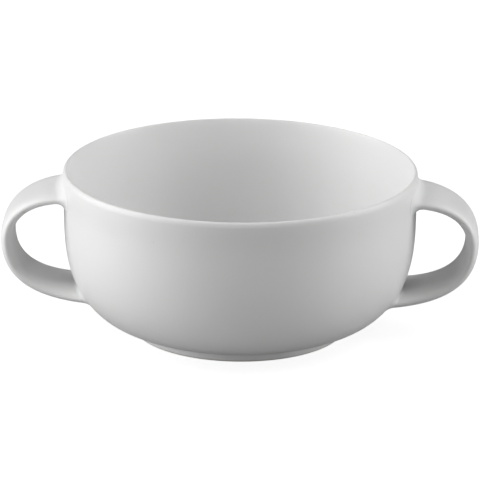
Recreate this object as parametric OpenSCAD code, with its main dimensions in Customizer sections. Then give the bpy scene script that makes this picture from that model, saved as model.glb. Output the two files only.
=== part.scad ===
// Two-handled soup cup in glazed white porcelain.
// Millimetres, +Z up, origin in the middle of the plane that the foot stands on.
// The two strap handles lie along X.

/* [Bowl] */
// Outside width of the straight wall under the rim
wall_d = 112; // [104:1:122]
// Height from the table to the top of the rim
cup_h = 53; // [51:0.5:60]
// Height at which the belly has turned into the straight wall
shoulder_h = 42; // [39:0.5:44]
// How far under the table the belly's curve would reach the axis
belly_drop = 0.5; // [0:0.1:1]
// Thickness of the wall at the shoulder
wall_t = 2.4; // [2:0.1:3.2]
// Thickness of the floor in the middle
floor_t = 2.8; // [2:0.1:5]

/* [Rim] */
// Thickness of the wall at the rim, to which it thins from the shoulder
rim_t = 1.5; // [1.2:0.1:2]
// How far the rim leans out past the straight wall
rim_flare = 0.4; // [0:0.1:1]
// Height of the rounding over the rim, from its outer side to its inner edge
lip_round_h = 1.9; // [1:0.1:2.4]
// Radius of the rim's inner edge
lip_edge_r = 0.4; // [0.2:0.1:0.6]

/* [Foot] */
// Outside width of the foot ring
foot_d = 68; // [62:1:74]
// Width of the ring where it joins the bowl
foot_w = 6; // [5:0.5:8]
// Width of the bare flat that the cup stands on
stand_w = 2.6; // [1.6:0.1:3.2]
// Radius of the ring's two bottom edges
foot_edge_r = 0.7; // [0.3:0.1:0.9]
// Rise of the underside from the ring to the middle
dome_h = 0.9; // [0.2:0.1:1.5]

/* [Handles] */
// How far each loop stands out from the straight wall
handle_out = 20; // [16:0.5:26]
// Thickness of the strap
strap_t = 4.1; // [2.6:0.1:4.4]
// Width of the strap at its roots
strap_root_w = 26.5; // [20:0.5:29]
// Width of the strap at its waist
strap_waist_w = 20; // [15:0.5:24]
// How far the strap's middle at the upper root lies under the rim
upper_root_drop = 7.6; // [7:0.2:10]
// Height of the strap's middle at the lower root
lower_root_h = 12.5; // [11:0.5:16]
// Height at which the loop reaches farthest out
waist_h = 30.8; // [29:0.2:34]

/* [Handle curve] */
// Length of the upper arm's straight lead out of the wall
upper_lead = 12.8; // [8:0.2:14]
// Length of the upper arm's turn above the waist
upper_turn = 6.6; // [6:0.2:9]
// Length of the lower arm's straight lead out of the wall
lower_lead = 12.8; // [10:0.2:15]
// Length of the lower arm's turn under the waist
lower_turn = 13; // [11:0.2:15]
// Droop of the upper arm as it leaves the wall, in degrees
upper_droop = 5.5; // [0:0.5:12]
// Rise of the lower arm as it leaves the belly, in degrees
lower_rise = 4.5; // [0:0.5:8]

/* [Slip fillets] */
// Radius of the slip fillet around each upper root
upper_fillet_r = 3; // [0.8:0.1:3]
// Radius of the slip fillet around each lower root
lower_fillet_r = 1.5; // [0.8:0.1:1.8]
// Thickness of the slip where the fillet runs out
fillet_edge = 0.12; // [0.08:0.02:0.2]

/* [Hidden] */

// Roundness of the revolved pieces and steps along each drawn curve
turn_sides = 360;
curve_steps = 32;
edge_steps = 6;
lean_steps = 8;

// Fullness of the belly outside and of the well inside, across and upward
belly_across_power = 3.5;
belly_up_power = 3.1;
well_across_power = 4;
well_up_power = 3.6;

// Bowl radii and the heights that follow from its outline
wall_r = wall_d / 2;
rim_r = wall_r + rim_flare;
well_r = wall_r - wall_t;
foot_r = foot_d / 2;
foot_inner_r = foot_r - foot_w;
belly_h = shoulder_h + belly_drop;
seat_h = shoulder_h - belly_h * pow(1 - pow(foot_r / wall_r, belly_across_power), 1 / belly_up_power);
floor_h = seat_h + dome_h + floor_t;
well_h = shoulder_h - floor_h;
foot_angle = acos(pow(foot_r / wall_r, belly_across_power / 2));
lip_start_h = cup_h - lip_round_h;

// Height of the upper root, and the farthest place of the strap's middle line from the axis
upper_root_h = cup_h - upper_root_drop;
reach = wall_r + handle_out - strap_t / 2;
// Squareness of the strap's rounded section, and sides drawn around it
section_power = 4.4;
section_sides = 32;
// Rings drawn along each arm, and the share of the arm between its fillet and the first one
arm_steps = 24;
first_ring_share = 0.04;
// How deep the uncut roots run into the wall before they are cut to it
root_sink = 1.2;
// Farthest shares of an arm searched for a place at a set distance off the wall
search_from_share = -0.2;
search_to_share = 0.4;
search_steps = 22;
// Half length over which the slope of the outline is measured
probe = 0.01;

slip_colour = [0.90, 0.90, 0.89];
glaze_colour = [0.94, 0.94, 0.93];
bare_foot_colour = [0.86, 0.84, 0.80];

function unit(v) = v / norm(v);

// Outline of the bowl: a power curve that turns from the belly into a straight wall,
// which then leans out to the rim
function rim_lean(z) =
    let (share = min(1, max(0, z - shoulder_h) / (lip_start_h - shoulder_h)))
    rim_flare * share * share * (3 - 2 * share);

function outline_r(z) =
    let (drop = min(1, max(0, shoulder_h - z) / belly_h))
    wall_r * pow(1 - pow(drop, belly_up_power), 1 / belly_across_power) + rim_lean(z);

function outline_slope(z) = (outline_r(z + probe) - outline_r(z - probe)) / (2 * probe);

// A point on a power curve that hangs from the shoulder, from 0 at the wall to 90 at the axis
function power_point(r, h, across_power, up_power, angle) =
    [r * pow(cos(angle), 2 / across_power), shoulder_h - h * pow(sin(angle), 2 / up_power)];

function belly_points() =
    [for (i = [0:curve_steps])
        power_point(wall_r, belly_h, belly_across_power, belly_up_power,
                    foot_angle * (1 - i / curve_steps))];

function lean_points() =
    [for (i = [1:lean_steps - 1])
        let (z = shoulder_h + (lip_start_h - shoulder_h) * i / lean_steps)
        [outline_r(z), z]];

function well_points() =
    [for (i = [0:curve_steps])
        power_point(well_r, well_h, well_across_power, well_up_power, 90 * i / curve_steps)];

// A quarter ellipse rounds the rim from its outer side, and a quarter circle its inner edge
function lip_points() = concat(
    [for (i = [0:lean_steps - 1])
        let (angle = 90 * i / lean_steps)
        [rim_r - (rim_t - lip_edge_r) * (1 - cos(angle)), cup_h - lip_round_h * (1 - sin(angle))]],
    [for (i = [0:edge_steps])
        let (angle = 90 * i / edge_steps)
        [rim_r - rim_t + lip_edge_r * (1 - sin(angle)), cup_h - lip_edge_r * (1 - cos(angle))]]);

// The recessed underside rises in a shallow dome from the foot ring to the middle
function dome_points() =
    [for (i = [0:edge_steps])
        let (share = i / edge_steps)
        [foot_inner_r * share, seat_h + dome_h * (1 - share * share)]];

module bowl() {
    color(glaze_colour)
        rotate_extrude($fn = turn_sides)
            polygon(concat(belly_points(), lean_points(), lip_points(), well_points(),
                           dome_points()));
}

// The bowl's outer form without its inside, which trims what is stuck to the wall
module bowl_envelope() {
    rotate_extrude($fn = turn_sides)
        polygon(concat(belly_points(), lean_points(),
                       [[rim_r, lip_start_h], [rim_r, cup_h], [0, cup_h], [0, seat_h]]));
}

// Quarter round at the bottom of the foot ring, turning inward from its outer side
function foot_edge_points(centre_r, from_angle) =
    [for (i = [0:edge_steps])
        let (angle = from_angle - 90 * i / edge_steps)
        [centre_r + foot_edge_r * cos(angle), foot_edge_r + foot_edge_r * sin(angle)]];

module foot_ring() {
    outer_edge_r = foot_r - foot_edge_r;
    color(bare_foot_colour)
        rotate_extrude($fn = turn_sides)
            polygon(concat([[foot_r, seat_h]],
                           foot_edge_points(outer_edge_r, 0),
                           foot_edge_points(outer_edge_r - stand_w, -90),
                           [[foot_inner_r, seat_h]]));
}

// Each arm runs from its root on the wall to the waist: control points in X and Z,
// and the side of it that faces away from the finger gap
upper_arm = [[outline_r(upper_root_h), upper_root_h],
             [outline_r(upper_root_h) + upper_lead * cos(upper_droop),
              upper_root_h - upper_lead * sin(upper_droop)],
             [reach, waist_h + upper_turn],
             [reach, waist_h]];
lower_arm = [[outline_r(lower_root_h), lower_root_h],
             [outline_r(lower_root_h) + lower_lead * cos(lower_rise),
              lower_root_h + lower_lead * sin(lower_rise)],
             [reach, waist_h - lower_turn],
             [reach, waist_h]];
UPPER = 1;
LOWER = -1;
function arm(side) = side == UPPER ? upper_arm : lower_arm;

// The middle line: a cubic curve, carried straight on into the wall before its start
function arm_place(side, t) =
    let (p = arm(side), s = 1 - t)
    t < 0 ? p[0] + 3 * t * (p[1] - p[0])
          : s * s * s * p[0] + 3 * s * s * t * p[1] + 3 * s * t * t * p[2] + t * t * t * p[3];

function arm_heading(side, t) =
    let (p = arm(side), s = 1 - t)
    unit(t < 0 ? p[1] - p[0]
               : s * s * (p[1] - p[0]) + 2 * s * t * (p[2] - p[1]) + t * t * (p[3] - p[2]));

function outward(side, t) = let (d = arm_heading(side, t)) side * [-d[1], d[0]];

// The strap is widest at its roots and narrows to its waist
function strap_w(t) =
    strap_waist_w + (strap_root_w - strap_waist_w) * pow(1 - max(0, t), 2);

// Unit section of the strap: flat in the middle, rounded at both edges
function section_place(j) =
    let (angle = 90 - 360 * j / section_sides, across = sin(angle))
    [across, sign(cos(angle)) * sqrt(1 - pow(min(1, abs(across)), section_power))];

function section_normal(j) =
    let (next = section_place(j + 1), last = section_place(j - 1),
         along = [(next[0] - last[0]) * strap_root_w, (next[1] - last[1]) * strap_t])
    unit([along[1], -along[0]]);

function strap_place(side, t, j) =
    let (middle = arm_place(side, t), out = outward(side, t), shape = section_place(j),
         lift = shape[1] * strap_t / 2)
    [middle[0] + out[0] * lift, shape[0] * strap_w(t) / 2, middle[1] + out[1] * lift];

// Distance of a point off the bowl's outer surface, and the way straight off it
function off_wall(p) =
    (norm([p[0], p[1]]) - outline_r(p[2])) / norm([1, outline_slope(p[2])]);

function wall_normal(p) =
    let (around = unit([p[0], p[1]]))
    unit([around[0], around[1], -outline_slope(p[2])]);

// Share of the arm at which one line of the strap's surface is a set distance off the wall
function share_off_wall(side, j, distance,
                        low = search_from_share, high = search_to_share, steps = search_steps) =
    let (middle = (low + high) / 2)
    steps == 0 ? middle
    : off_wall(strap_place(side, middle, j)) < distance
        ? share_off_wall(side, j, distance, middle, high, steps - 1)
        : share_off_wall(side, j, distance, low, middle, steps - 1);

// A ring of the strap that follows the wall at a set distance, and a plain ring across it
function wall_ring(side, distance) =
    [for (j = [0:section_sides - 1]) strap_place(side, share_off_wall(side, j, distance), j)];

function plain_ring(side, t) =
    [for (j = [0:section_sides - 1]) strap_place(side, t, j)];

// Radius of the fillet at a root, and the distance off the wall at which it ends on the strap,
// which it spreads along the wall too
function fillet_r(side) = side == UPPER ? upper_fillet_r : lower_fillet_r;
function fillet_reach(side) = fillet_r(side) + fillet_edge;

// The share of the arm at which its plain rings start, clear of the fillet's end
function plain_from(side) =
    first_ring_share
    + max([for (j = [0:section_sides - 1]) share_off_wall(side, j, fillet_reach(side))]);

function arm_rings(side) =
    let (from = plain_from(side))
    concat([wall_ring(side, -root_sink), wall_ring(side, fillet_reach(side))],
           [for (i = [0:arm_steps]) plain_ring(side, from + (1 - from) * i / arm_steps)]);

function strap_rings() =
    let (upper = arm_rings(UPPER), lower = arm_rings(LOWER))
    concat(upper, [for (k = [len(lower) - 2:-1:0]) lower[k]]);

// A ring of the fillet: spread along the wall at a set distance off it
function fillet_ring(side, distance, spread) =
    [for (j = [0:section_sides - 1])
        let (t = share_off_wall(side, j, distance), p = strap_place(side, t, j),
             out = outward(side, t), edge = section_normal(j), off = wall_normal(p),
             away = [out[0] * edge[1], edge[0], out[1] * edge[1]])
        p + spread * unit(away - off * (away * off))];

// Outside of the fillet from inside the wall to its thin upper edge, then back down the strap
function fillet_rings(side) = concat(
    [fillet_ring(side, -root_sink, fillet_reach(side))],
    [for (i = [0:edge_steps])
        let (angle = 90 * i / edge_steps)
        fillet_ring(side, fillet_edge + fillet_r(side) * (1 - cos(angle)),
                    fillet_edge + fillet_r(side) * (1 - sin(angle)))],
    [wall_ring(side, fillet_reach(side)), wall_ring(side, -root_sink)]);

// Triangles between two rings, turned over where the rings run the other way round
function ring_band(from, to, turned) =
    [for (j = [0:section_sides - 1])
        let (n = (j + 1) % section_sides,
             a = from * section_sides + j, b = from * section_sides + n,
             c = to * section_sides + n, d = to * section_sides + j)
        each turned ? [[a, b, c], [a, c, d]] : [[a, c, b], [a, d, c]]];

function total(list, k = 0) =
    k == len(list) - 1 ? list[k] : list[k] + total(list, k + 1);

function ring_middle(ring) = total(ring) / len(ring);

module strap() {
    rings = strap_rings();
    last = len(rings) - 1;
    start_point = (last + 1) * section_sides;
    polyhedron(
        points = concat([for (ring = rings) each ring],
                        [ring_middle(rings[0]), ring_middle(rings[last])]),
        faces = concat(
            [for (k = [0:last - 1]) each ring_band(k, k + 1, false)],
            [for (j = [0:section_sides - 1])
                [start_point, j, (j + 1) % section_sides]],
            [for (j = [0:section_sides - 1])
                [start_point + 1, last * section_sides + (j + 1) % section_sides,
                 last * section_sides + j]]),
        convexity = 4);
}

module fillet(side) {
    rings = fillet_rings(side);
    count = len(rings);
    polyhedron(
        points = [for (ring = rings) each ring],
        faces = [for (k = [0:count - 1]) each ring_band(k, (k + 1) % count, side == LOWER)],
        convexity = 4);
}

// The handles are alike: the left one and its fillets are the right ones turned half round
RIGHT_TURN = 0;
LEFT_TURN = 180;

module handle(turn) {
    color(glaze_colour)
        rotate([0, 0, turn])
            difference() {
                strap();
                bowl_envelope();
            }
}

module slip_fillet(turn, side) {
    color(slip_colour)
        rotate([0, 0, turn])
            difference() {
                fillet(side);
                bowl_envelope();
            }
}

bowl();
foot_ring();
handle(LEFT_TURN);  // handle_left
handle(RIGHT_TURN);  // handle_right
slip_fillet(LEFT_TURN, UPPER);  // slip_fillet_left_upper
slip_fillet(LEFT_TURN, LOWER);  // slip_fillet_left_lower
slip_fillet(RIGHT_TURN, UPPER);  // slip_fillet_right_upper
slip_fillet(RIGHT_TURN, LOWER);  // slip_fillet_right_lower
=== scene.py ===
"""Dresses a white two-handled soup cup in glazed porcelain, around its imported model.

Lengths are in metres, with +Z up and the origin in the middle of the plane that the
foot stands on. The two strap handles lie along X.
"""

import logging
import math
from abc import ABC, abstractmethod
from collections.abc import Callable, Iterable, Mapping, Sequence
from dataclasses import dataclass
from enum import Enum
from typing import ClassVar

import bmesh
import bpy
from mathutils import Matrix, Vector

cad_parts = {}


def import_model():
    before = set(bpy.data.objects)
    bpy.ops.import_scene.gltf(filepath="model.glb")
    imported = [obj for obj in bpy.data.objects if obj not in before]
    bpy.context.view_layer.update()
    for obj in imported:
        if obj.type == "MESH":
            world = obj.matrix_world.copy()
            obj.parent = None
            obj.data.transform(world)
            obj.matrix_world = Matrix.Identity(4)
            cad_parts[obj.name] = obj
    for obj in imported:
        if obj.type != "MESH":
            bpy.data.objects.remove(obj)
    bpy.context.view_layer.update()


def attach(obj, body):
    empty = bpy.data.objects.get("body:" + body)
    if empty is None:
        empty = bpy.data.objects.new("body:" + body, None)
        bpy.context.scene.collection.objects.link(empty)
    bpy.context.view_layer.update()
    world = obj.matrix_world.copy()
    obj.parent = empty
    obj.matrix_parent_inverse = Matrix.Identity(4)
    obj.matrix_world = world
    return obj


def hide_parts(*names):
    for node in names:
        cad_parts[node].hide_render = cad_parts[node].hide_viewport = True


MM = 0.001
BODY = "root"
ORIGIN = Vector((0.0, 0.0, 0.0))
UP = Vector((0.0, 0.0, 1.0))
MERGE_DISTANCE = 0.002 * MM
# The glaze depth also places painted light: thinner glaze is painted lighter as a highlight, deeper
# glaze darker as painted shade.
GLAZE_DEPTH_HIGHLIGHT_SHADE = "glaze_depth_highlight_shade"
THIN_HIGHLIGHT_GLAZE, EVEN_GLAZE, POOLED_SHADE_GLAZE = 0.0, 0.5, 1.0
EVEN_MARGIN = 0.05
NOISE_MIDDLE = 0.5
PATCH_START, PATCH_FULL = 0.2, 0.8

Colour = tuple[float, float, float, float]
Feed = bpy.types.NodeSocket | float | Sequence[float]

log = logging.getLogger("soup_cup")


class Root(Enum):
    """Which root of a handle an arm grows from, with the side of it that faces outwards."""

    UPPER = 1
    LOWER = -1


class Side(Enum):
    """Which side of the cup a handle is on, with its turn about the upright axis."""

    RIGHT = 0.0
    LEFT = math.pi


class Slot(Enum):
    """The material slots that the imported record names."""

    GLAZE = "glazed_porcelain"
    SLIP = "glazed_slip"
    BARE = "bare_porcelain"


@dataclass(frozen=True)
class BowlOutline:
    """The bowl's curves, which the foot, the handles and the slip follow too."""

    wall_r: float = 56 * MM
    rim_flare: float = 0.4 * MM
    cup_h: float = 53 * MM
    lip_round_h: float = 1.9 * MM
    shoulder_h: float = 42 * MM
    belly_drop: float = 0.5 * MM
    wall_t: float = 2.4 * MM
    floor_t: float = 2.8 * MM
    dome_h: float = 0.9 * MM
    foot_r: float = 34 * MM
    foot_w: float = 6 * MM
    belly_across_power: float = 3.5
    belly_up_power: float = 3.1
    well_across_power: float = 4.0
    well_up_power: float = 3.6
    crease_lift: float = 0.4 * MM
    lifted_to_r: float = 37.5 * MM
    level_from_r: float = 46 * MM
    probe: float = 0.01 * MM

    @property
    def rim_r(self) -> float:
        """Outside radius of the rim."""
        return self.wall_r + self.rim_flare

    @property
    def lip_start_h(self) -> float:
        """Height at which the rim starts to round over."""
        return self.cup_h - self.lip_round_h

    @property
    def belly_h(self) -> float:
        """Height over which the belly's curve turns."""
        return self.shoulder_h + self.belly_drop

    @property
    def seat_h(self) -> float:
        """Height at which the foot ring meets the belly."""
        share = 1 - (self.foot_r / self.wall_r) ** self.belly_across_power
        return self.shoulder_h - self.belly_h * share ** (1 / self.belly_up_power)

    @property
    def crease_h(self) -> float:
        """Height of the turned crease over the foot, a little up into the belly."""
        return self.seat_h + self.crease_lift

    @property
    def floor_h(self) -> float:
        """Height of the well's floor."""
        return self.seat_h + self.dome_h + self.floor_t

    @property
    def foot_angle(self) -> float:
        """Angle of the belly's curve at which it meets the foot."""
        return math.acos((self.foot_r / self.wall_r) ** (self.belly_across_power / 2))

    def outer_r(self, z: float) -> float:
        """Gives the outside radius at a height.

        Args:
            z: The height.

        Returns:
            The radius of the belly, or of the wall above it, which leans out to the rim.
        """
        drop = min(1.0, max(0.0, self.shoulder_h - z) / self.belly_h)
        share = 1 - drop**self.belly_up_power
        lean = self.rim_flare * eased(z, self.shoulder_h, self.lip_start_h)
        return self.wall_r * share ** (1 / self.belly_across_power) + lean

    def slope(self, z: float) -> float:
        """Gives how fast the outside radius grows with height.

        Args:
            z: The height.

        Returns:
            Growth of the radius for each unit of height.
        """
        return (self.outer_r(z + self.probe) - self.outer_r(z - self.probe)) / (2 * self.probe)

    def off_wall(self, place: Vector) -> float:
        """Measures how far a place is off the outer surface.

        Args:
            place: The place measured.

        Returns:
            The distance, below zero inside the wall.
        """
        lean = math.hypot(1.0, self.slope(place.z))
        return (math.hypot(place.x, place.y) - self.outer_r(place.z)) / lean

    def wall_normal(self, place: Vector) -> Vector:
        """Gives the way straight off the outer surface.

        Args:
            place: The place on the wall or near it.

        Returns:
            A unit vector that points out of the wall.
        """
        around = Vector((place.x, place.y, 0.0)).normalized()
        return (around - UP * self.slope(place.z)).normalized()

    def belly(self, steps: int) -> list[Vector]:
        """Draws the outside up to the shoulder, from the crease, where it turns up a little.

        Args:
            steps: How many steps the curve is drawn in.

        Returns:
            Places in the XZ plane.
        """
        places = [
            self._curve_place(
                self.wall_r,
                self.belly_h,
                self.belly_across_power,
                self.belly_up_power,
                self.foot_angle * (1 - step / steps),
            )
            for step in range(steps + 1)
        ]
        for place in places:
            place.z += self.crease_lift * eased(place.x, self.level_from_r, self.lifted_to_r)
        return places

    def lean(self, steps: int) -> list[Vector]:
        """Draws the wall between the shoulder and the rim's rounding.

        Args:
            steps: How many steps the curve is drawn in.

        Returns:
            Places in the XZ plane, without the two ends.
        """
        rise = self.lip_start_h - self.shoulder_h
        heights = [self.shoulder_h + rise * step / steps for step in range(1, steps)]
        return [Vector((self.outer_r(z), 0.0, z)) for z in heights]

    def well(self, steps: int) -> list[Vector]:
        """Draws the inside from the shoulder down to the middle of the floor.

        Args:
            steps: How many steps the curve is drawn in.

        Returns:
            Places in the XZ plane.
        """
        return [
            self._curve_place(
                self.wall_r - self.wall_t,
                self.shoulder_h - self.floor_h,
                self.well_across_power,
                self.well_up_power,
                math.pi / 2 * step / steps,
            )
            for step in range(steps + 1)
        ]

    def underside(self, steps: int) -> list[Vector]:
        """Draws the shallow dome from the middle of the underside out to the foot.

        Args:
            steps: How many steps the curve is drawn in.

        Returns:
            Places in the XZ plane.
        """
        inner_r = self.foot_r - self.foot_w
        return [
            Vector((inner_r * share, 0.0, self.seat_h + self.dome_h * (1 - share**2)))
            for share in (step / steps for step in range(steps + 1))
        ]

    def _curve_place(
        self, r: float, h: float, across_power: float, up_power: float, angle: float
    ) -> Vector:
        """Gives a place on a rounded-square curve that hangs from the shoulder.

        Args:
            r: Half width of the curve.
            h: Height of the curve.
            across_power: Fullness of the curve across.
            up_power: Fullness of the curve upwards.
            angle: From 0 at the wall to a quarter turn at the axis.

        Returns:
            A place in the XZ plane.
        """
        across = max(0.0, math.cos(angle)) ** (2 / across_power)
        down = math.sin(angle) ** (2 / up_power)
        return Vector((r * across, 0.0, self.shoulder_h - h * down))


class Bench:
    """Shapes one mesh with edit-mode operators, starting from a small plane."""

    def __init__(self, name: str) -> None:
        """Lays a plane on the bench and opens it for editing.

        Args:
            name: The name of the new piece.
        """
        bpy.ops.object.select_all(action="DESELECT")
        bpy.ops.mesh.primitive_plane_add(size=MM, location=ORIGIN)
        self.piece = bpy.context.object
        self.piece.name = name
        self.piece.data.name = name
        bpy.ops.object.mode_set(mode="EDIT")
        bpy.ops.mesh.select_mode(type="VERT")
        self._fresh = True

    def draw(self, places: Sequence[Vector], closed: bool = False) -> None:
        """Draws a line of edges by extruding one vertex from place to place.

        Args:
            places: Where the line goes.
            closed: Whether the line ends where it began.
        """
        if not self._fresh:
            bpy.ops.mesh.select_all(action="DESELECT")
            bpy.ops.mesh.primitive_plane_add(size=MM, location=ORIGIN)
        self._fresh = False
        bpy.ops.mesh.merge(type="CENTER")
        bpy.ops.transform.translate(value=places[0])
        for last, place in zip(places, places[1:]):
            bpy.ops.mesh.extrude_region_move(TRANSFORM_OT_translate={"value": place - last})
        if closed:
            self.select_places([places[0], places[-1]])
            bpy.ops.mesh.edge_face_add()
        self.select_places(places)

    def select(self, wanted: Callable[[Vector], bool]) -> None:
        """Selects the vertices whose place fits, and nothing else.

        Args:
            wanted: Says whether a place fits.
        """
        bpy.ops.mesh.select_all(action="DESELECT")
        mesh = bmesh.from_edit_mesh(self.piece.data)
        for vertex in mesh.verts:
            if wanted(vertex.co):
                vertex.select_set(True)
        mesh.select_flush_mode()
        bmesh.update_edit_mesh(self.piece.data)

    def select_places(self, places: Iterable[Vector]) -> None:
        """Selects the vertices that lie at these places."""
        keys = {self._key(place) for place in places}
        self.select(lambda place: self._key(place) in keys)

    def spin(self, turns: int) -> None:
        """Turns the drawn profile round the upright axis into a closed form.

        Args:
            turns: How many steps the full turn takes.
        """
        bpy.ops.mesh.select_all(action="SELECT")
        bpy.ops.mesh.spin(steps=turns, angle=math.tau, center=ORIGIN, axis=UP)
        self.tidy()

    def tidy(self) -> None:
        """Merges doubled vertices and turns every face outwards."""
        bpy.ops.mesh.select_all(action="SELECT")
        bpy.ops.mesh.remove_doubles(threshold=MERGE_DISTANCE)
        bpy.ops.mesh.dissolve_degenerate(threshold=MERGE_DISTANCE)
        bpy.ops.mesh.select_all(action="SELECT")
        bpy.ops.mesh.normals_make_consistent(inside=False)

    def done(self, smooth_to: float, glaze_depth_highlight_shade: Callable[[Vector], float]) -> bpy.types.Object:
        """Closes the mesh, shades it smooth apart from its sharp edges and notes its glaze depth,
        which places painted highlight and shade.

        Args:
            smooth_to: The angle up to which faces blend, in degrees.
            glaze_depth_highlight_shade: Says how deep the glaze lies at a place, which also sets its
                painted highlight and shade.

        Returns:
            The piece, with its place in its mesh.
        """
        bpy.ops.object.mode_set(mode="OBJECT")
        bpy.ops.object.shade_smooth_by_angle(angle=math.radians(smooth_to))
        depths = [glaze_depth_highlight_shade(vertex.co) for vertex in self.piece.data.vertices]
        noted = self.piece.data.attributes.new(GLAZE_DEPTH_HIGHLIGHT_SHADE, "FLOAT", "POINT")
        noted.data.foreach_set("value", depths)
        log.info("%s: %d faces", self.piece.name, len(self.piece.data.polygons))
        return self.piece

    @staticmethod
    def _key(place: Vector) -> tuple[int, int, int]:
        """Rounds a place to hundredths of a micrometre so that it can be looked up."""
        return tuple(round(value / (0.0001 * MM)) for value in place)


def eased(value: float, start: float, end: float) -> float:
    """Turns a value into a smooth share.

    Args:
        value: The value.
        start: Where the share is 0.
        end: Where the share is 1.

    Returns:
        The share, from 0 to 1.
    """
    share = min(1.0, max(0.0, (value - start) / (end - start)))
    return share * share * (3 - 2 * share)


def arc(centre: tuple[float, float], r: float, start: float, end: float, steps: int) -> list[Vector]:
    """Draws part of a circle in the XZ plane.

    Args:
        centre: X and Z of its middle.
        r: Its radius.
        start: Its first angle from +X towards +Z, in degrees.
        end: Its last angle.
        steps: How many steps it is drawn in.

    Returns:
        Places along it, both ends included.
    """
    angles = [math.radians(start + (end - start) * step / steps) for step in range(steps + 1)]
    return [
        Vector((centre[0] + r * math.cos(angle), 0.0, centre[1] + r * math.sin(angle)))
        for angle in angles
    ]


@dataclass
class Bowl:
    """The deep bowl, turned in one piece from its underside over the lip to its floor."""

    outline: BowlOutline
    rim_t: float = 1.6 * MM
    rim_in_h: float = 52.6 * MM
    crown_in: float = 1.05 * MM
    lip_inside_h: float = 2.9 * MM
    curve_steps: int = 56
    lean_steps: int = 12
    lip_steps: int = 14
    dome_steps: int = 10
    turns: int = 192
    smooth_to: float = 38.0
    lip_highlight_h: float = 1.3 * MM
    low_pool_shade_h: float = 7 * MM
    floor_pool_shade_r: float = 24 * MM

    def lip(self) -> list[Vector]:
        """Draws the rim, rounded over from its crown down both of its sides.

        Returns:
            Places in the XZ plane, from the outside to the inside.
        """
        outline = self.outline
        crown_r = outline.rim_r - self.crown_in
        edge_w = crown_r - self.inner_r(outline.cup_h)
        places = []
        for step in range(2 * self.lip_steps + 1):
            angle = math.pi / 2 * step / self.lip_steps
            outside = step < self.lip_steps
            up = outline.lip_round_h if outside else self.lip_inside_h
            z = outline.cup_h - up + up * math.sin(angle)
            if outside:
                r = crown_r + self.crown_in * math.cos(angle)
            else:
                r = self.inner_r(z) + edge_w * (1 + math.cos(angle))
            places.append(Vector((r, 0.0, z)))
        return places

    def inner_r(self, z: float) -> float:
        """Gives the radius of the straight inner wall at a height.

        Args:
            z: The height.

        Returns:
            The radius of the line from the well's curve to the inside of the rim.
        """
        outline = self.outline
        well_r, rim_in_r = outline.wall_r - outline.wall_t, outline.rim_r - self.rim_t
        share = (z - outline.shoulder_h) / (self.rim_in_h - outline.shoulder_h)
        return well_r + (rim_in_r - well_r) * share

    def glaze_depth_highlight_shade(self, place: Vector) -> float:
        """Says how deep the glaze lies: it runs off the lip, painted lighter there as a highlight,
        and gathers low down and in the well's corner, painted darker there as shade.

        Args:
            place: A place on the bowl.

        Returns:
            The depth, from thin to pooled.
        """
        outline = self.outline
        radius = math.hypot(place.x, place.y)
        # Painted highlight on the top of the lip; painted shade low down outside, under the foot and
        # where the well's floor meets its wall.
        off_lip = eased(outline.cup_h - place.z, 0.0, self.lip_highlight_h)
        inside = radius < outline.outer_r(place.z) - outline.wall_t / 2
        low = outline.floor_h if inside else outline.seat_h
        pool_shade = eased(place.z - low, self.low_pool_shade_h, 0.0)
        if inside and place.z > outline.seat_h + outline.dome_h:
            pool_shade *= eased(radius, self.floor_pool_shade_r, outline.wall_r)
        return THIN_HIGHLIGHT_GLAZE + EVEN_GLAZE * off_lip + (POOLED_SHADE_GLAZE - EVEN_GLAZE) * pool_shade

    def build(self) -> bpy.types.Object:
        """Turns the bowl.

        Returns:
            The finished mesh piece.
        """
        profile = (
            self.outline.underside(self.dome_steps)
            + self.outline.belly(self.curve_steps)
            + self.outline.lean(self.lean_steps)
            + self.lip()
            + self.outline.well(self.curve_steps)
        )
        bench = Bench("turned_bowl")
        bench.draw(profile)
        bench.spin(self.turns)
        return bench.done(self.smooth_to, self.glaze_depth_highlight_shade)


@dataclass
class FootRing:
    """The low ring that the cup stands on, with glaze drawn up into its crease."""

    outline: BowlOutline
    stand_w: float = 2.6 * MM
    edge_r: float = 0.7 * MM
    crease_r: float = 0.12 * MM
    edge_steps: int = 8
    turns: int = 192
    smooth_to: float = 38.0

    def crease(self) -> list[Vector]:
        """Draws the small hollow that the glaze makes between the belly and the ring.

        Returns:
            Places in the XZ plane, from the belly down to the ring's side.
        """
        lean = math.atan(1 / self.outline.slope(self.outline.seat_h + self.crease_r / 2))
        half_open = (math.pi / 2 + lean) / 2
        tangent = self.crease_r / math.tan(half_open)
        centre = (self.outline.foot_r + self.crease_r, self.outline.crease_h - tangent)
        return arc(centre, self.crease_r, math.degrees(math.pi / 2 + lean), 180, self.edge_steps)

    def glaze_depth_highlight_shade(self, place: Vector) -> float:
        """Says how deep the glaze lies: it pools in the crease under the belly, painted darker there
        as shade.
        """
        # Painted shade, as well as pooling, towards the crease under the belly.
        pool_shade = eased(place.z, self.outline.crease_h / 2, self.outline.crease_h)
        return EVEN_GLAZE + (POOLED_SHADE_GLAZE - EVEN_GLAZE) * pool_shade

    def build(self) -> bpy.types.Object:
        """Turns the ring.

        Returns:
            The finished mesh piece.
        """
        inner_r = self.outline.foot_r - self.outline.foot_w
        flat_out_r = self.outline.foot_r - self.edge_r
        flat_in_r = flat_out_r - self.stand_w
        profile = (
            self.crease()
            + arc((flat_out_r, self.edge_r), self.edge_r, 0, -90, self.edge_steps)
            + arc((flat_in_r, self.edge_r), self.edge_r, -90, -180, self.edge_steps)
            + [Vector((inner_r, 0.0, self.outline.seat_h))]
        )
        bench = Bench("foot_with_bare_stand")
        bench.draw(profile, closed=True)
        bench.spin(self.turns)
        return bench.done(self.smooth_to, self.glaze_depth_highlight_shade)


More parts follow.
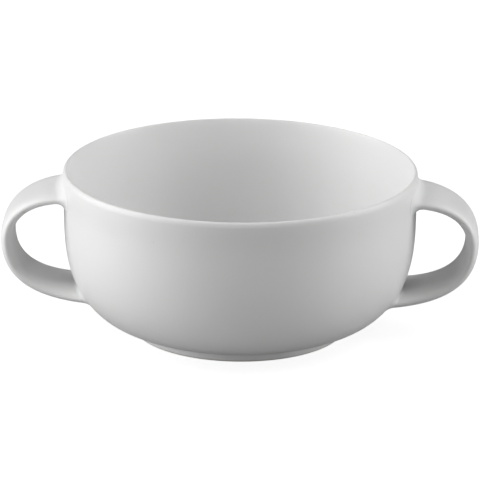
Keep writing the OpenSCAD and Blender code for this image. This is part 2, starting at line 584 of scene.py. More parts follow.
@dataclass(frozen=True)
class Arm:
    """One arm of a handle: the strap's middle line from a root on the wall to the waist."""

    root: Root
    start: Vector
    lead: Vector
    turn: Vector
    waist: Vector

    def place(self, t: float) -> Vector:
        """Gives a place on the middle line.

        Args:
            t: From 0 at the wall to 1 at the waist; below 0 it runs straight into the wall.

        Returns:
            The place, in the XZ plane.
        """
        if t < 0:
            return self.start + (self.lead - self.start) * 3 * t
        s = 1 - t
        return (
            self.start * s**3
            + self.lead * 3 * s * s * t
            + self.turn * 3 * s * t * t
            + self.waist * t**3
        )

    def outward(self, t: float) -> Vector:
        """Gives the way out of the strap's broad outer face.

        Args:
            t: From 0 at the wall to 1 at the waist.

        Returns:
            A unit vector in the XZ plane.
        """
        s = 1 - t
        heading = self.lead - self.start
        if t >= 0:
            heading = (
                (self.lead - self.start) * s * s
                + (self.turn - self.lead) * 2 * s * t
                + (self.waist - self.turn) * t * t
            )
        heading = heading.normalized()
        return Vector((-heading.z, 0.0, heading.x)) * self.root.value

    def turned(self, t: float) -> float:
        """Gives how far the outer face has turned from facing up towards facing out."""
        out = self.outward(t)
        return math.atan2(out.x, out.z)


@dataclass(frozen=True)
class Strap:
    """The strap's path, width and rounded section, which its slip fillets follow too."""

    outline: BowlOutline
    handle_out: float = 20 * MM
    strap_t: float = 4.1 * MM
    root_w: float = 26.5 * MM
    waist_w: float = 20 * MM
    upper_root_drop: float = 7.6 * MM
    lower_root_h: float = 12.5 * MM
    waist_h: float = 30.8 * MM
    upper_lead: float = 12.8 * MM
    upper_turn: float = 6.6 * MM
    lower_lead: float = 12.8 * MM
    lower_turn: float = 13 * MM
    upper_droop: float = 5.5
    lower_rise: float = 4.5
    section_power: float = 4.4
    section_sides: int = 48

    def arm(self, root: Root) -> Arm:
        """Lays out one arm.

        Args:
            root: Which root it grows from.

        Returns:
            The arm.
        """
        reach = self.outline.wall_r + self.handle_out - self.strap_t / 2
        if root is Root.UPPER:
            start_h = self.outline.cup_h - self.upper_root_drop
            lead, turn = self.upper_lead, self.upper_turn
            tilt = -math.radians(self.upper_droop)
        else:
            start_h = self.lower_root_h
            lead, turn = self.lower_lead, -self.lower_turn
            tilt = math.radians(self.lower_rise)
        start = Vector((self.outline.outer_r(start_h), 0.0, start_h))
        return Arm(
            root,
            start,
            start + Vector((math.cos(tilt), 0.0, math.sin(tilt))) * lead,
            Vector((reach, 0.0, self.waist_h + turn)),
            Vector((reach, 0.0, self.waist_h)),
        )

    def width(self, t: float) -> float:
        """Gives the strap's width, which narrows from its root to its waist."""
        return self.waist_w + (self.root_w - self.waist_w) * (1 - max(0.0, t)) ** 2

    def section(self, side: int) -> tuple[float, float]:
        """Gives a place on the unit section: flat in the middle and rounded at both edges.

        Args:
            side: Which of its sides, counted from the middle of the outer face.

        Returns:
            How far across and how far out, each from -1 to 1.
        """
        angle = math.pi / 2 - math.tau * side / self.section_sides
        across = math.sin(angle)
        lift = math.sqrt(max(0.0, 1 - abs(across) ** self.section_power))
        return across, math.copysign(lift, math.cos(angle))

    def surface(self, arm: Arm, t: float, side: int) -> Vector:
        """Gives a place on the strap's surface.

        Args:
            arm: The arm.
            t: From 0 at the wall to 1 at the waist.
            side: Which side of the section.

        Returns:
            The place.
        """
        across, lift = self.section(side)
        middle = arm.place(t) + arm.outward(t) * (lift * self.strap_t / 2)
        return middle + Vector((0.0, across * self.width(t) / 2, 0.0))

    def ring(self, arm: Arm, t: float) -> list[Vector]:
        """Gives the places of a plain ring across the strap."""
        return [self.surface(arm, t, side) for side in range(self.section_sides)]


@dataclass
class StrapHandle:
    """A looped handle, drawn out as a strap from root to root and cut to the wall."""

    strap: Strap
    side: Side
    arm_steps: int = 30
    run_in: float = -0.16
    root_sink: float = 1.65 * MM
    thin_highlight_from: float = 0.88
    smooth_to: float = 50.0

    def stations(self) -> list[tuple[Arm, float]]:
        """Lists where the strap is drawn to, from the upper root round to the lower.

        Returns:
            Each station's arm and its share along that arm.
        """
        upper, lower = self.strap.arm(Root.UPPER), self.strap.arm(Root.LOWER)
        shares = [
            self.run_in + (1 - self.run_in) * step / self.arm_steps
            for step in range(self.arm_steps + 1)
        ]
        return [(upper, t) for t in shares] + [(lower, t) for t in reversed(shares[:-1])]

    def build(self) -> bpy.types.Object:
        """Draws the strap out along its loop and trims both of its roots.

        Returns:
            The finished mesh piece.
        """
        bench = Bench(f"strap_handle_{self.side.name.lower()}")
        stations = self.stations()
        bench.draw(self.strap.ring(*stations[0]), closed=True)
        for last, station in zip(stations, stations[1:]):
            self._draw_out(last, station)
        for root in Root:
            self._cut_root(bench, root)
        bench.tidy()
        turn_about_axis(self.side)
        return bench.done(self.smooth_to, self.glaze_depth_highlight_shade)

    def glaze_depth_highlight_shade(self, place: Vector) -> float:
        """Says how deep the glaze lies: it draws thinner over the strap's rounded edges, painted
        lighter there as a highlight.
        """
        half_w = self.strap.waist_w / 2
        # Painted highlight, as well as thinner glaze, on the strap's rounded edges.
        return EVEN_GLAZE + (THIN_HIGHLIGHT_GLAZE - EVEN_GLAZE) * eased(
            abs(place.y), half_w * self.thin_highlight_from, half_w
        )

    def _draw_out(self, last: tuple[Arm, float], station: tuple[Arm, float]) -> None:
        """Extrudes the selected ring on to the next station.

        Args:
            last: The arm and the share where the ring is.
            station: The arm and the share where it goes.
        """
        middle = station[0].place(station[1])
        bpy.ops.mesh.extrude_region_move(
            TRANSFORM_OT_translate={"value": middle - last[0].place(last[1])}
        )
        narrower = self.strap.width(station[1]) / self.strap.width(last[1])
        bpy.ops.transform.resize(value=(1.0, narrower, 1.0), center_override=middle)
        # The operator turns against the right-hand rule when there is no window
        bpy.ops.transform.rotate(
            value=last[0].turned(last[1]) - station[0].turned(station[1]),
            orient_axis="Y",
            center_override=middle,
        )

    def _cut_root(self, bench: Bench, root: Root) -> None:
        """Cuts one root off parallel to the wall, just inside it, and closes the cut.

        Args:
            bench: The bench that the strap is on.
            root: Which root.
        """
        start = self.strap.arm(root).start
        off = self.strap.outline.wall_normal(start)
        above = root is Root.UPPER
        bench.select(lambda place: (place.z > self.strap.waist_h) == above)
        bpy.ops.mesh.bisect(
            plane_co=start - off * self.root_sink, plane_no=off, use_fill=True, clear_inner=True
        )


@dataclass
class SlipFillet:
    """The slip pressed out round one root, a hollow collar that dies into wall and strap."""

    strap: Strap
    side: Side
    root: Root
    upper_r: float = 3 * MM
    lower_r: float = 1.5 * MM
    edge_t: float = 0.02 * MM
    sink: float = 0.5 * MM
    arc_steps: int = 12
    search_from: float = -0.2
    search_to: float = 0.4
    search_steps: int = 26
    hollow_pool_shade: float = 0.3
    smooth_to: float = 50.0

    @property
    def fillet_r(self) -> float:
        """Radius of the hollow, wide over the upper root and tight at the lower one."""
        return self.upper_r if self.root is Root.UPPER else self.lower_r

    def _share_off_wall(self, arm: Arm, side: int, distance: float) -> float:
        """Finds where one line of the strap's surface is a set distance off the wall.

        Args:
            arm: The arm.
            side: Which side of the section the line runs along.
            distance: The distance off the wall.

        Returns:
            The share along the arm.
        """
        low, high = self.search_from, self.search_to
        for _ in range(self.search_steps):
            middle = (low + high) / 2
            if self.strap.outline.off_wall(self.strap.surface(arm, middle, side)) < distance:
                low = middle
            else:
                high = middle
        return (low + high) / 2

    def _ring(self, distance: float, spread: float) -> list[Vector]:
        """Draws a ring round the root, spread along the wall at a set distance off it.

        Args:
            distance: How far the ring is off the wall.
            spread: How far it is off the strap.

        Returns:
            The ring's places.
        """
        arm = self.strap.arm(self.root)
        places = []
        for side in range(self.strap.section_sides):
            t = self._share_off_wall(arm, side, distance)
            place = self.strap.surface(arm, t, side)
            ahead, behind = self.strap.section(side + 1), self.strap.section(side - 1)
            out = arm.outward(t)
            edge = Vector(
                (
                    (ahead[1] - behind[1]) * self.strap.strap_t,
                    (behind[0] - ahead[0]) * self.strap.root_w,
                )
            ).normalized()
            away = out * edge[1] + Vector((0.0, edge[0], 0.0))
            off = self.strap.outline.wall_normal(place)
            away = (away - off * away.dot(off)).normalized()
            places.append(place + away * spread)
        return places

    def rings(self) -> list[list[Vector]]:
        """Lists the collar's rings: out along the wall, up the hollow and down the strap.

        Returns:
            Each ring's places.
        """
        reach = self.fillet_r + self.edge_t
        hollow = [
            self._ring(
                self.edge_t + self.fillet_r * (1 - math.cos(angle)),
                self.edge_t + self.fillet_r * (1 - math.sin(angle)),
            )
            for angle in (math.pi / 2 * step / self.arc_steps for step in range(self.arc_steps + 1))
        ]
        return [
            self._ring(-self.sink, reach),
            *hollow,
            self._ring(reach, -self.sink),
            self._ring(-self.sink, -self.sink),
        ]

    def build(self) -> bpy.types.Object:
        """Draws the rings and bridges each to the next.

        Returns:
            The finished mesh piece.
        """
        name = f"slip_{self.side.name.lower()}_{self.root.name.lower()}"
        bench = Bench(name)
        rings = self.rings()
        for ring in rings:
            bench.draw(ring, closed=True)
        for ring, following in zip(rings, rings[1:] + rings[:1]):
            bench.select_places(ring + following)
            bpy.ops.mesh.bridge_edge_loops()
        bench.tidy()
        turn_about_axis(self.side)
        return bench.done(self.smooth_to, self.glaze_depth_highlight_shade)

    def glaze_depth_highlight_shade(self, place: Vector) -> float:
        """Says how deep the glaze lies: it fills the hollow, painted darker there as shade, and
        thins out to its edges.
        """
        # Painted shade, as well as deeper glaze, in the hollow by the wall.
        hollow_shade = eased(self.strap.outline.off_wall(place), self.fillet_r, 0.0)
        return EVEN_GLAZE + self.hollow_pool_shade * hollow_shade


def turn_about_axis(side: Side) -> None:
    """Turns the mesh that is open for editing to its side of the cup."""
    bpy.ops.mesh.select_all(action="SELECT")
    bpy.ops.transform.rotate(value=side.value, orient_axis="Z", center_override=ORIGIN)


class SocketKind(Enum):
    """The kinds of socket that an effect takes and gives."""

    NUMBER = "NodeSocketFloat"
    COLOUR = "NodeSocketColor"
    VECTOR = "NodeSocketVector"


class NodeSheet:
    """Lays out the shader nodes of one tree and joins them up."""

    def __init__(self, tree: bpy.types.NodeTree) -> None:
        """Takes the tree to work on.

        Args:
            tree: The node tree of a material, of the world or of an effect.
        """
        self.tree = tree

    def add(
        self, kind: str, feeds: Mapping[str | int, Feed] | None = None, **options: object
    ) -> bpy.types.Node:
        """Adds a node, with its options first because they can change its sockets.

        Args:
            kind: The node's type.
            feeds: What goes into each input socket, by the socket's name or number.
            **options: The node's own options.

        Returns:
            The node.
        """
        node = self.tree.nodes.new(kind)
        for name, option in options.items():
            setattr(node, name, option)
        for name, feed in (feeds or {}).items():
            self.feed(node.inputs[name], feed)
        return node

    def feed(self, socket: bpy.types.NodeSocket, feed: Feed) -> None:
        """Joins another node's output to a socket, or sets the socket's own value.

        Args:
            socket: The input socket.
            feed: The output, number or colour that goes into it.
        """
        if isinstance(feed, bpy.types.NodeSocket):
            self.tree.links.new(feed, socket)
        else:
            socket.default_value = feed

    def work(self, operation: str, *values: Feed) -> bpy.types.NodeSocket:
        """Works a number out.

        Args:
            operation: The kind of sum.
            *values: What goes into it, in order.

        Returns:
            The result's socket.
        """
        feeds = dict(enumerate(values))
        return self.add("ShaderNodeMath", feeds, operation=operation).outputs[0]

    def ease(self, value: Feed, start: Feed, end: Feed) -> bpy.types.NodeSocket:
        """Turns a value into a smooth mask.

        Args:
            value: The value.
            start: Where the mask is 0.
            end: Where the mask is 1.

        Returns:
            The mask's socket.
        """
        feeds = {"Value": value, "From Min": start, "From Max": end}
        node = self.add("ShaderNodeMapRange", feeds, interpolation_type="SMOOTHSTEP")
        return node.outputs["Result"]

    def blend(self, share: Feed, first: Feed, second: Feed) -> bpy.types.NodeSocket:
        """Blends two colours.

        Args:
            share: How much of the second colour there is.
            first: The first colour.
            second: The second colour.

        Returns:
            The blended colour's socket.
        """
        # Mix has an A, a B and a Result for each kind of value, so they go by number
        feeds = {0: share, 6: first, 7: second}
        return self.add("ShaderNodeMix", feeds, data_type="RGBA").outputs[2]

    def between(self, share: Feed, first: Feed, second: Feed) -> bpy.types.NodeSocket:
        """Blends two numbers.

        Args:
            share: How much of the second number there is.
            first: The first number.
            second: The second number.

        Returns:
            The blended number's socket.
        """
        feeds = {0: share, 2: first, 3: second}
        return self.add("ShaderNodeMix", feeds, data_type="FLOAT").outputs[0]

    def clouds(self, place: Feed, size: Feed, detail: float = 2.0) -> bpy.types.NodeSocket:
        """Makes soft noise.

        Args:
            place: Where on the piece.
            size: How wide its patches are.
            detail: How many finer layers it has.

        Returns:
            The noise's socket, from 0 to 1 and 0.5 on average.
        """
        feeds = {"Vector": place, "Scale": self.work("DIVIDE", 1.0, size), "Detail": detail}
        return self.add("ShaderNodeTexNoise", feeds).outputs[0]

    def swing(self, noise: Feed, depth: Feed) -> bpy.types.NodeSocket:
        """Turns noise into a height that swings both ways by half of a depth."""
        return self.work("MULTIPLY", self.work("SUBTRACT", noise, NOISE_MIDDLE), depth)


class Effect(ABC):
    """A shader node group, drawn once and placed in each material with its own values."""

    title: ClassVar[str]
    takes: ClassVar[dict[str, SocketKind]]
    gives: ClassVar[dict[str, SocketKind]]

    @abstractmethod
    def draw(
        self, sheet: NodeSheet, given: bpy.types.NodeOutputs
    ) -> dict[str, bpy.types.NodeSocket]:
        """Draws the effect's nodes.

        Args:
            sheet: The sheet of the group's own tree.
            given: The group's inputs.

        Returns:
            What each output is joined to.
        """

    def tree(self) -> bpy.types.NodeTree:
        """Gives the group's tree, which is drawn at its first use.

        Returns:
            The tree.
        """
        if self.title in bpy.data.node_groups:
            return bpy.data.node_groups[self.title]
        tree = bpy.data.node_groups.new(self.title, "ShaderNodeTree")
        for in_out, sockets in (("INPUT", self.takes), ("OUTPUT", self.gives)):
            for name, kind in sockets.items():
                tree.interface.new_socket(name=name, in_out=in_out, socket_type=kind.value)
        sheet = NodeSheet(tree)
        sheet.add("NodeGroupOutput", self.draw(sheet, sheet.add("NodeGroupInput").outputs))
        return tree

    def place(self, sheet: NodeSheet, feeds: Mapping[str | int, Feed]) -> bpy.types.NodeOutputs:
        """Places the effect in a material.

        Args:
            sheet: The material's sheet.
            feeds: What goes into each of its inputs.

        Returns:
            The effect's outputs.
        """
        return sheet.add("ShaderNodeGroup", feeds, node_tree=self.tree()).outputs


class GlazeTone(Effect):
    """The glaze's colour: clouded a little, whiter where the glaze thins, partly a painted
    highlight, and darker where it pools, partly painted shade.
    """

    title = "glaze_tone"
    takes = {
        "Place": SocketKind.VECTOR,
        "Depth": SocketKind.NUMBER,
        "Body": SocketKind.COLOUR,
        "Clouded": SocketKind.COLOUR,
        "Thin": SocketKind.COLOUR,
        "Pooled": SocketKind.COLOUR,
        "Cloud Size": SocketKind.NUMBER,
    }
    gives = {"Colour": SocketKind.COLOUR}

    def draw(
        self, sheet: NodeSheet, given: bpy.types.NodeOutputs
    ) -> dict[str, bpy.types.NodeSocket]:
        """Draws the effect's nodes.

        Args:
            sheet: The sheet of the group's own tree.
            given: The group's inputs.

        Returns:
            What each output is joined to.
        """
        clouds = sheet.clouds(given["Place"], given["Cloud Size"], detail=1.0)
        cloudy = sheet.ease(clouds, PATCH_START, PATCH_FULL)
        # Painted highlight, as well as thinner glaze, where the depth falls; painted shade, as well
        # as pooling, where it rises.
        thin = sheet.ease(given["Depth"], EVEN_GLAZE - EVEN_MARGIN, THIN_HIGHLIGHT_GLAZE)
        pooled = sheet.ease(given["Depth"], EVEN_GLAZE + EVEN_MARGIN, POOLED_SHADE_GLAZE)
        body = sheet.blend(cloudy, given["Body"], given["Clouded"])
        thin_highlighted = sheet.blend(thin, body, given["Thin"])
        return {"Colour": sheet.blend(pooled, thin_highlighted, given["Pooled"])}


class GlazeSheen(Effect):
    """The glaze's roughness: a shade duller in soft patches, as handled ware is."""

    title = "glaze_sheen"
    takes = {
        "Place": SocketKind.VECTOR,
        "Bright": SocketKind.NUMBER,
        "Dulled": SocketKind.NUMBER,
        "Patch Size": SocketKind.NUMBER,
    }
    gives = {"Roughness": SocketKind.NUMBER}

    def draw(
        self, sheet: NodeSheet, given: bpy.types.NodeOutputs
    ) -> dict[str, bpy.types.NodeSocket]:
        """Draws the effect's nodes.

        Args:
            sheet: The sheet of the group's own tree.
            given: The group's inputs.

        Returns:
            What each output is joined to.
        """
        patches = sheet.clouds(given["Place"], given["Patch Size"], detail=1.0)
        share = sheet.ease(patches, PATCH_START, PATCH_FULL)
        return {"Roughness": sheet.between(share, given["Bright"], given["Dulled"])}


class GlazeRelief(Effect):
    """The glaze's skin: a fine orange peel over a slow sag."""

    title = "glaze_relief"
    takes = {
        "Place": SocketKind.VECTOR,
        "Peel Size": SocketKind.NUMBER,
        "Peel Depth": SocketKind.NUMBER,
        "Sag Size": SocketKind.NUMBER,
        "Sag Depth": SocketKind.NUMBER,
    }
    gives = {"Height": SocketKind.NUMBER}

    def draw(
        self, sheet: NodeSheet, given: bpy.types.NodeOutputs
    ) -> dict[str, bpy.types.NodeSocket]:
        """Draws the effect's nodes.

        Args:
            sheet: The sheet of the group's own tree.
            given: The group's inputs.

        Returns:
            What each output is joined to.
        """
        peel = sheet.clouds(given["Place"], given["Peel Size"], detail=0.0)
        sag = sheet.clouds(given["Place"], given["Sag Size"], detail=0.0)
        peel_height = sheet.swing(peel, given["Peel Depth"])
        sag_height = sheet.swing(sag, given["Sag Depth"])
        return {"Height": sheet.work("ADD", peel_height, sag_height)}


class TurningRings(Effect):
    """The faint uneven rings that turning leaves round the bowl and its foot."""

    title = "turning_rings"
    takes = {
        "Place": SocketKind.VECTOR,
        "Pitch": SocketKind.NUMBER,
        "Depth": SocketKind.NUMBER,
    }
    gives = {"Height": SocketKind.NUMBER}

    def draw(
        self, sheet: NodeSheet, given: bpy.types.NodeOutputs
    ) -> dict[str, bpy.types.NodeSocket]:
        """Draws the effect's nodes.

        Radius and height together grow all the way up the profile, inside and outside,
        so their sum counts the rings on the wall and on the floor alike.

        Args:
            sheet: The sheet of the group's own tree.
            given: The group's inputs.

        Returns:
            What each output is joined to.
        """
        flat = sheet.add(
            "ShaderNodeVectorMath",
            {0: given["Place"], 1: (1.0, 1.0, 0.0)},
            operation="MULTIPLY",
        )
        radius = sheet.add("ShaderNodeVectorMath", {0: flat.outputs[0]}, operation="LENGTH")
        height = sheet.add("ShaderNodeSeparateXYZ", {0: given["Place"]}).outputs["Z"]
        along = sheet.work("ADD", radius.outputs["Value"], height)
        feeds = {"W": sheet.work("DIVIDE", along, given["Pitch"]), "Scale": 1.0, "Detail": 1.0}
        rings = sheet.add("ShaderNodeTexNoise", feeds, noise_dimensions="1D").outputs[0]
        return {"Height": sheet.swing(rings, given["Depth"])}


class FiringSpecks(Effect):
    """The few pinpoint specks that firing brings out of the clay."""

    title = "firing_specks"
    takes = {
        "Place": SocketKind.VECTOR,
        "Spacing": SocketKind.NUMBER,
        "Radius": SocketKind.NUMBER,
        "Rarity": SocketKind.NUMBER,
    }
    gives = {"Mask": SocketKind.NUMBER}
    core_share: ClassVar[float] = 0.5

    def draw(
        self, sheet: NodeSheet, given: bpy.types.NodeOutputs
    ) -> dict[str, bpy.types.NodeSocket]:
        """Draws the effect's nodes.

        Args:
            sheet: The sheet of the group's own tree.
            given: The group's inputs.

        Returns:
            What each output is joined to.
        """
        scale = sheet.work("DIVIDE", 1.0, given["Spacing"])
        cells = sheet.add("ShaderNodeTexVoronoi", {"Vector": given["Place"], "Scale": scale})
        chance = sheet.add("ShaderNodeSeparateColor", {0: cells.outputs["Color"]})
        chosen = sheet.work("GREATER_THAN", chance.outputs["Red"], given["Rarity"])
        radius = sheet.work("MULTIPLY", given["Radius"], scale)
        core = sheet.work("MULTIPLY", radius, self.core_share)
        spot = sheet.ease(cells.outputs["Distance"], radius, core)
        return {"Mask": sheet.work("MULTIPLY", spot, chosen)}


class BiscuitGrain(Effect):
    """The bare clay's fine grain, a little greyer where it has rubbed on tables."""

    title = "biscuit_grain"
    takes = {
        "Place": SocketKind.VECTOR,
        "Body": SocketKind.COLOUR,
        "Rubbed": SocketKind.COLOUR,
        "Grain Size": SocketKind.NUMBER,
        "Grain Depth": SocketKind.NUMBER,
        "Rub Size": SocketKind.NUMBER,
    }
    gives = {"Colour": SocketKind.COLOUR, "Height": SocketKind.NUMBER}
    rub_start: ClassVar[float] = 0.45
    rub_full: ClassVar[float] = 0.75

    def draw(
        self, sheet: NodeSheet, given: bpy.types.NodeOutputs
    ) -> dict[str, bpy.types.NodeSocket]:
        """Draws the effect's nodes.

        Args:
            sheet: The sheet of the group's own tree.
            given: The group's inputs.

        Returns:
            What each output is joined to.
        """
        grain = sheet.clouds(given["Place"], given["Grain Size"], detail=3.0)
        rubs = sheet.clouds(given["Place"], given["Rub Size"], detail=5.0)
        rubbed = sheet.ease(rubs, self.rub_start, self.rub_full)
        colour = sheet.blend(rubbed, given["Body"], given["Rubbed"])
        return {"Colour": colour, "Height": sheet.swing(grain, given["Grain Depth"])}


@dataclass(frozen=True)
class Glaze:
    """A clear gloss glaze fired over white porcelain."""

    name: str
    body: Colour
    clouded: Colour
    ring_depth: float = 0.0
    ring_pitch: float = 2.6 * MM
    peel_size: float = 1.4 * MM
    peel_depth: float = 0.003 * MM
    sag_size: float = 11 * MM
    sag_depth: float = 0.01 * MM
    # Lighter where the glaze thins, partly a painted highlight on the lip and the strap's edges;
    # darker where it pools, partly painted shade in the crease, the slip's hollows and low down.
    thin: Colour = (0.878, 0.877, 0.872, 1.0)
    pooled: Colour = (0.835, 0.838, 0.836, 1.0)
    cloud_size: float = 24 * MM
    speck: Colour = (0.45, 0.38, 0.3, 1.0)
    speck_spacing: float = 8 * MM
    speck_radius: float = 0.18 * MM
    speck_rarity: float = 0.75
    speck_strength: float = 0.5
    bright: float = 0.34
    dulled: float = 0.38
    patch_size: float = 17 * MM
    specular: float = 0.4
    coat: float = 0.05
    coat_roughness: float = 0.1

    def colour(self, sheet: NodeSheet, place: Feed) -> bpy.types.NodeSocket:
        """Lays out the glaze's colour.

        Args:
            sheet: The material's sheet.
            place: Where on the piece.

        Returns:
            The colour's socket.
        """
        feeds = {
            "Place": place,
            "Depth": sheet.add("ShaderNodeAttribute", attribute_name=GLAZE_DEPTH_HIGHLIGHT_SHADE).outputs["Fac"],
            "Body": self.body,
            "Clouded": self.clouded,
            "Thin": self.thin,
            "Pooled": self.pooled,
            "Cloud Size": self.cloud_size,
        }
        tone = GlazeTone().place(sheet, feeds)["Colour"]
        feeds = {
            "Place": place,
            "Spacing": self.speck_spacing,
            "Radius": self.speck_radius,
            "Rarity": self.speck_rarity,
        }
        specks = FiringSpecks().place(sheet, feeds)["Mask"]
        return sheet.blend(sheet.work("MULTIPLY", specks, self.speck_strength), tone, self.speck)

    def roughness(self, sheet: NodeSheet, place: Feed) -> bpy.types.NodeSocket:
        """Lays out the glaze's roughness.

        Args:
            sheet: The material's sheet.
            place: Where on the piece.

        Returns:
            The roughness's socket.
        """
        feeds = {
            "Place": place,
            "Bright": self.bright,
            "Dulled": self.dulled,
            "Patch Size": self.patch_size,
        }
        return GlazeSheen().place(sheet, feeds)["Roughness"]

    def height(self, sheet: NodeSheet, place: Feed) -> bpy.types.NodeSocket:
        """Lays out the glaze's relief.

        Args:
            sheet: The material's sheet.
            place: Where on the piece.

        Returns:
            The height's socket, in metres.
        """
        feeds = {
            "Place": place,
            "Peel Size": self.peel_size,
            "Peel Depth": self.peel_depth,
            "Sag Size": self.sag_size,
            "Sag Depth": self.sag_depth,
        }
        skin = GlazeRelief().place(sheet, feeds)["Height"]
        if not self.ring_depth:
            return skin
        feeds = {"Place": place, "Pitch": self.ring_pitch, "Depth": self.ring_depth}
        return sheet.work("ADD", skin, TurningRings().place(sheet, feeds)["Height"])

    def material(self) -> bpy.types.Material:
        """Makes the material.

        Returns:
            The material.
        """
        material, sheet, shader = new_material(self.name)
        place = sheet.add("ShaderNodeTexCoord").outputs["Object"]
        sheet.feed(shader.inputs["Base Color"], self.colour(sheet, place))
        sheet.feed(shader.inputs["Roughness"], self.roughness(sheet, place))
        sheet.feed(shader.inputs["Normal"], raised(sheet, self.height(sheet, place)))
        sheet.feed(shader.inputs["Specular IOR Level"], self.specular)
        sheet.feed(shader.inputs["Coat Weight"], self.coat)
        sheet.feed(shader.inputs["Coat Roughness"], self.coat_roughness)
        return material


@dataclass(frozen=True)
class BareStand:
    """The foot's finish: glazed down its sides and bare clay where it stands."""

    name: str
    glaze: Glaze
    body: Colour = (0.80, 0.78, 0.74, 1.0)
    rubbed: Colour = (0.70, 0.685, 0.66, 1.0)
    glaze_line: Colour = (0.66, 0.62, 0.56, 1.0)
    line_h: float = 0.55 * MM
    line_blur: float = 0.05 * MM
    line_w: float = 0.16 * MM
    line_strength: float = 0.35
    wobble_size: float = 5 * MM
    wobble: float = 0.3 * MM
    glaze_t: float = 0.06 * MM
    grain_size: float = 0.16 * MM
    grain_depth: float = 0.02 * MM
    rub_size: float = 2.2 * MM
    roughness: float = 0.78

    def material(self) -> bpy.types.Material:
        """Makes the material.

        Returns:
            The material.
        """
        material, sheet, shader = new_material(self.name)
        place = sheet.add("ShaderNodeTexCoord").outputs["Object"]
        height = sheet.add("ShaderNodeSeparateXYZ", {0: place}).outputs["Z"]
        drips = sheet.swing(sheet.clouds(place, self.wobble_size), self.wobble)
        over_line = sheet.work("SUBTRACT", sheet.work("ADD", height, drips), self.line_h)
        glazed = sheet.ease(over_line, -self.line_blur, self.line_blur)
        edge = sheet.ease(sheet.work("ABSOLUTE", over_line), self.line_w, 0.0)
        feeds = {
            "Place": place,
            "Body": self.body,
            "Rubbed": self.rubbed,
            "Grain Size": self.grain_size,
            "Grain Depth": self.grain_depth,
            "Rub Size": self.rub_size,
        }
        grain = BiscuitGrain().place(sheet, feeds)
        colour = sheet.blend(glazed, grain["Colour"], self.glaze.colour(sheet, place))
        edge_share = sheet.work("MULTIPLY", edge, self.line_strength)
        sheet.feed(shader.inputs["Base Color"], sheet.blend(edge_share, colour, self.glaze_line))
        gloss = self.glaze.roughness(sheet, place)
        sheet.feed(shader.inputs["Roughness"], sheet.between(glazed, self.roughness, gloss))
        skin = sheet.work("ADD", self.glaze.height(sheet, place), self.glaze_t)
        relief = sheet.between(glazed, grain["Height"], skin)
        sheet.feed(shader.inputs["Normal"], raised(sheet, relief))
        sheet.feed(shader.inputs["Specular IOR Level"], self.glaze.specular)
        sheet.feed(shader.inputs["Coat Weight"], sheet.work("MULTIPLY", glazed, self.glaze.coat))
        sheet.feed(shader.inputs["Coat Roughness"], self.glaze.coat_roughness)
        return material


def new_material(name: str) -> tuple[bpy.types.Material, NodeSheet, bpy.types.Node]:
    """Starts a material.

    Args:
        name: Its name.

    Returns:
        The material, its sheet and its shader node.
    """
    material = bpy.data.materials.new(name)
    material.use_nodes = True
    shader = material.node_tree.nodes["Principled BSDF"]
    return material, NodeSheet(material.node_tree), shader


def raised(sheet: NodeSheet, height: Feed) -> bpy.types.NodeSocket:
    """Turns a height in metres into the normal that it gives the surface."""
    feeds = {"Strength": 1.0, "Distance": 1.0, "Height": height}
    return sheet.add("ShaderNodeBump", feeds).outputs["Normal"]


@dataclass(frozen=True)
class Softbox:
    """A square soft lamp that faces the cup.

    Its strength is how bright it makes a white surface that faces it beside the cup.
    """

    name: str
    azimuth: float
    elevation: float
    size: float
    strength: float
    distance: float = 1.0

    def light(self) -> None:
        """Hangs the lamp."""
        lamp = bpy.data.lights.new(self.name, "AREA")
        lamp.shape = "SQUARE"
        lamp.size = self.size
        lamp.energy = self.strength * math.pi**2 * self.distance**2
        hung = bpy.data.objects.new(self.name, lamp)
        bpy.context.scene.collection.objects.link(hung)
        across, up = math.radians(self.azimuth), math.radians(self.elevation)
        way = Vector(
            (math.sin(across) * math.cos(up), -math.cos(across) * math.cos(up), math.sin(up))
        )
        hung.location = way * self.distance
        hung.rotation_euler = way.to_track_quat("Z", "Y").to_euler()


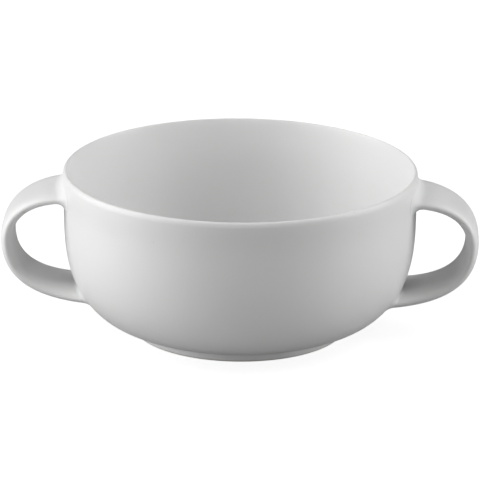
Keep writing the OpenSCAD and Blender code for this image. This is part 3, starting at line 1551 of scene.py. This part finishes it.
@dataclass
class Studio:
    """A pale floor, soft lamps and the camera."""

    camera_place: Vector
    camera_target: Vector
    lamps: Sequence[Softbox]
    camera_roll: float = 0.0076
    focal_px: float = 4145.7
    picture_px: float = 480.0
    sensor_w: float = 36.0
    clip_near: float = 0.05
    clip_far: float = 20.0
    floor_w: float = 6.0
    floor_gap: float = 0.05 * MM
    paper: Colour = (0.33, 0.33, 0.33, 1.0)
    paper_glow: float = 0.86
    mirrored_glow: float = 0.06
    room: Colour = (1.0, 1.0, 1.0, 1.0)
    room_strength: float = 0.015

    def camera(self) -> None:
        """Sets the camera up and makes it the scene's camera."""
        data = bpy.data.cameras.new("camera")
        data.sensor_width = self.sensor_w
        data.lens = self.focal_px / self.picture_px * self.sensor_w
        data.clip_start, data.clip_end = self.clip_near, self.clip_far
        placed = bpy.data.objects.new("camera", data)
        bpy.context.scene.collection.objects.link(placed)
        ahead = (self.camera_target - self.camera_place).normalized()
        right = ahead.cross(UP).normalized()
        over = right.cross(ahead)
        cos_roll, sin_roll = math.cos(self.camera_roll), math.sin(self.camera_roll)
        axes = Matrix(
            (
                right * cos_roll + over * sin_roll,
                over * cos_roll - right * sin_roll,
                -ahead,
            )
        ).transposed()
        placed.matrix_world = Matrix.Translation(self.camera_place) @ axes.to_4x4()
        bpy.context.scene.camera = placed

    def floor(self) -> None:
        """Lays pale paper that looks white, is clear from below and lets the lamps through."""
        bpy.ops.object.select_all(action="DESELECT")
        bpy.ops.mesh.primitive_plane_add(size=self.floor_w, location=-UP * self.floor_gap)
        floor = bpy.context.object
        floor.name = "floor"
        material, sheet, shader = new_material("floor_paper")
        sheet.tree.nodes.remove(shader)
        path = sheet.add("ShaderNodeLightPath").outputs
        mirrored = sheet.work("MAXIMUM", path["Is Glossy Ray"], path["Is Transmission Ray"])
        faint = sheet.work("MULTIPLY", mirrored, self.mirrored_glow)
        plain = sheet.work("MULTIPLY", path["Is Camera Ray"], self.paper_glow)
        strength = sheet.work("MAXIMUM", plain, faint)
        glow = sheet.add("ShaderNodeEmission", {"Strength": strength}).outputs[0]
        paper = sheet.add("ShaderNodeBsdfDiffuse", {"Color": self.paper}).outputs[0]
        lit = sheet.add("ShaderNodeAddShader", {0: paper, 1: glow}).outputs[0]
        below = sheet.add("ShaderNodeNewGeometry").outputs["Backfacing"]
        through = sheet.work("MAXIMUM", below, path["Is Shadow Ray"])
        clear = sheet.add("ShaderNodeBsdfTransparent").outputs[0]
        surface = sheet.add("ShaderNodeMixShader", {0: through, 1: lit, 2: clear}).outputs[0]
        sheet.feed(sheet.tree.nodes["Material Output"].inputs["Surface"], surface)
        floor.data.materials.append(material)

    def world(self) -> None:
        """Fills the room with a dim even light."""
        world = bpy.data.worlds.new("room")
        world.use_nodes = True
        backdrop = world.node_tree.nodes["Background"]
        backdrop.inputs["Color"].default_value = self.room
        backdrop.inputs["Strength"].default_value = self.room_strength
        bpy.context.scene.world = world

    def build(self) -> None:
        """Sets up the camera, the floor and the lamps."""
        self.camera()
        self.floor()
        self.world()
        for lamp in self.lamps:
            lamp.light()


def dress(piece: bpy.types.Object, node: str, slot: Slot, finish: bpy.types.Material) -> None:
    """Dresses a piece and puts it in the place of its CAD node.

    Args:
        piece: The piece.
        node: The CAD node that it stands for.
        slot: The record's slot that the finish belongs to; not used.
        finish: Its material.
    """
    piece.data.materials.clear()
    piece.data.materials.append(finish)
    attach(piece, BODY)
    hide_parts(node)
    log.info("%s stands for %s", piece.name, node)


def soft_lamps() -> tuple[Softbox, ...]:
    """Lists the lamps: three at each side, and weak ones in front, behind and below.

    Returns:
        The lamps.
    """
    return (
        Softbox("left_low", -90, 5, 0.7, 0.375),
        Softbox("left_high", -90, 40, 0.7, 0.54),
        Softbox("left_front", -55, 20, 0.7, 0.265),
        Softbox("right_low", 90, 5, 0.7, 0.385),
        Softbox("right_high", 90, 40, 0.7, 0.44),
        Softbox("right_top", 90, 65, 0.6, 0.05),
        Softbox("front_low", 0, 8, 0.6, 0.11),
        Softbox("back", 180, 35, 0.8, 0.112),
        Softbox("below", 0, -89, 1.0, 0.02),
    )


def main() -> None:
    """Builds and dresses every piece in order, then sets up the studio."""
    logging.basicConfig(level=logging.INFO, format="%(name)s: %(message)s")
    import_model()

    outline = BowlOutline()
    strap = Strap(outline)
    white: Colour = (0.862, 0.862, 0.86, 1.0)
    shaded: Colour = (0.855, 0.8555, 0.8535, 1.0)
    milky: Colour = (0.848, 0.849, 0.847, 1.0)
    turned = Glaze("turned_glaze", white, shaded, ring_depth=0.004 * MM)
    pressed = Glaze("pressed_glaze", white, shaded, peel_depth=0.004 * MM)
    slip = Glaze(
        "slip_glaze",
        shaded,
        milky,
        peel_depth=0.006 * MM,
        bright=0.44,
        dulled=0.5,
        specular=0.25,
    ).material()
    bare = BareStand("bare_stand", turned).material()
    turned_glaze, pressed_glaze = turned.material(), pressed.material()

    dress(Bowl(outline).build(), "bowl", Slot.GLAZE, turned_glaze)
    dress(FootRing(outline).build(), "foot_ring", Slot.BARE, bare)
    for side in Side:
        name = side.name.lower()
        dress(StrapHandle(strap, side).build(), f"handle_{name}", Slot.GLAZE, pressed_glaze)
        for root in Root:
            node = f"slip_fillet_{name}_{root.name.lower()}"
            dress(SlipFillet(strap, side, root).build(), node, Slot.SLIP, slip)

    Studio(
        camera_place=Vector((30.5, -1254.1, 445.2)) * MM,
        camera_target=Vector((0.05, 0.0, 29.08)) * MM,
        lamps=soft_lamps(),
    ).build()
    bpy.context.scene.view_settings.view_transform = "Standard"


if __name__ == "__main__":
    main()
